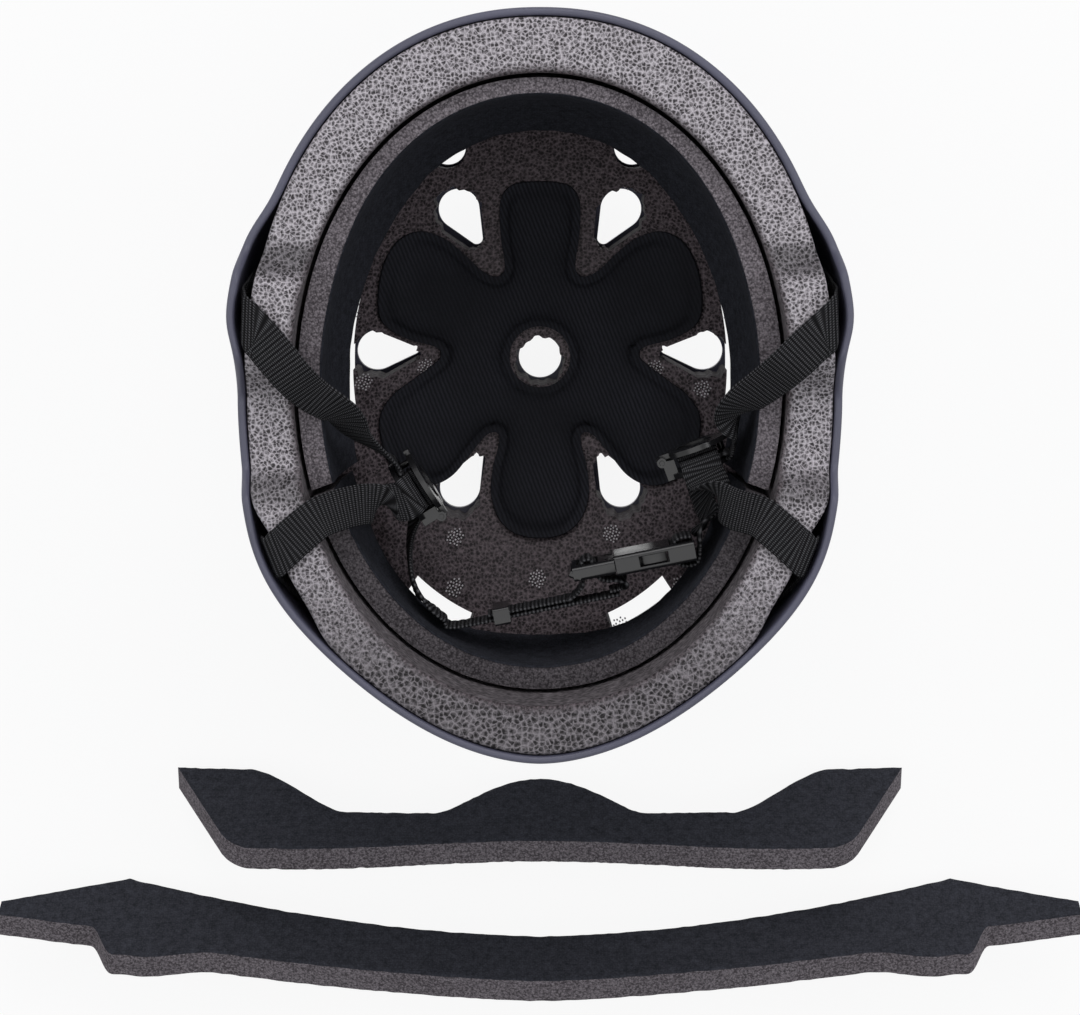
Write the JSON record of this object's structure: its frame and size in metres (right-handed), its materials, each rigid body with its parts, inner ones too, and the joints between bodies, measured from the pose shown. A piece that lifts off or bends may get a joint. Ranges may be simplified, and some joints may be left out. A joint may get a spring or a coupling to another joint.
{
  "type": "sport helmet",
  "caption": "Round multi-sport helmet lying on its crown, with foam liner, fabric pads, webbing harness, strap dividers, side-release buckle and spare fit pads.",
  "frame": {"origin": "centre of the round crown vent at the shell's outer surface, which is where the helmet rests on the floor", "axes": "+Z out of the head opening, +Y to the brow, +X to the wearer's left"},
  "size_m": [0.4382, 0.3902, 0.153],
  "materials": {
    "shell": "satin",
    "liner": "moulded bead foam",
    "pad_foam": "open-cell foam",
    "crown_foam": "foam",
    "pad_fabric": "knitted",
    "hook_tape": "hook tape",
    "webbing": "ribbed weave",
    "black_plastic": "moulded, slightly glossy",
    "steel": "plain"
  },
  "bodies": {
    "helmet": {"shell": "shell", "liner": "liner", "rivets_front": "black_plastic", "rivets_rear": "black_plastic", "washers": "steel", "crown_pad_foam": "crown_foam", "crown_pad_cover": "pad_fabric", "front_pad_foam": "pad_foam", "front_pad_cover": "pad_fabric", "rear_pad_foam": "pad_foam", "rear_pad_cover": "pad_fabric", "hook_tabs": "hook_tape", "front_strap_left": "webbing", "rear_strap_left": "webbing", "chin_strap_left": "webbing", "front_strap_right": "webbing", "rear_strap_right": "webbing", "chin_strap_right": "webbing", "divider_base_left": "black_plastic", "divider_pin_left": "steel", "divider_base_right": "black_plastic", "divider_pin_right": "steel", "buckle_housing": "black_plastic"},
    "buckle_plug": {"buckle_plug": "black_plastic", "adjuster_strap": "webbing"},
    "upper_prong": {"upper_prong": "black_plastic"},
    "lower_prong": {"lower_prong": "black_plastic"},
    "lid_left": {"divider_lid_left": "black_plastic"},
    "lid_right": {"divider_lid_right": "black_plastic"},
    "keeper": {"strap_keeper": "black_plastic"},
    "short_spare_pad": {"short_spare_foam": "pad_foam", "short_spare_cover": "pad_fabric"},
    "long_spare_pad": {"long_spare_foam": "pad_foam", "long_spare_cover": "pad_fabric"}
  },
  "joints": [
    {"name": "buckle_release", "type": "slide", "parent": "helmet", "child": "buckle_plug", "axis": [-0.9806, -0.1959, 0], "range_m": [0, 0.012]},
    {"name": "upper_prong_squeeze", "type": "hinge", "parent": "buckle_plug", "child": "upper_prong", "pos_m": [0.02578, -0.0696, 0.11635], "axis": [-0.1959, 0.9806, 0], "range_deg": [0, 11]},
    {"name": "lower_prong_squeeze", "type": "hinge", "parent": "buckle_plug", "child": "lower_prong", "pos_m": [0.02578, -0.0696, 0.10365], "axis": [0.1959, -0.9806, 0], "range_deg": [0, 11]},
    {"name": "left_divider_lid", "type": "hinge", "parent": "helmet", "child": "lid_left", "pos_m": [-0.03671, -0.05223, 0.1], "axis": [0, 0, -1], "range_deg": [0, 95]},
    {"name": "right_divider_lid", "type": "hinge", "parent": "helmet", "child": "lid_right", "pos_m": [0.04538, -0.03235, 0.1], "axis": [0, 0, 1], "range_deg": [0, 95]},
    {"name": "keeper_slide", "type": "slide", "parent": "helmet", "child": "keeper", "axis": [0.9806, 0.1959, 0], "range_m": [-0.003, 0.003]},
    {"name": "short_pad_lift", "type": "slide", "parent": "helmet", "child": "short_spare_pad", "axis": [0, 0, 1], "range_m": [0, 0.1]},
    {"name": "long_pad_lift", "type": "slide", "parent": "helmet", "child": "long_spare_pad", "axis": [0, 0, 1], "range_m": [0, 0.1]}
  ],
  "couplings": [
    {"joint": "upper_prong_squeeze", "follows": "buckle_release", "rad_per_m": 15.3},
    {"joint": "lower_prong_squeeze", "follows": "buckle_release", "rad_per_m": 15.3}
  ]
}
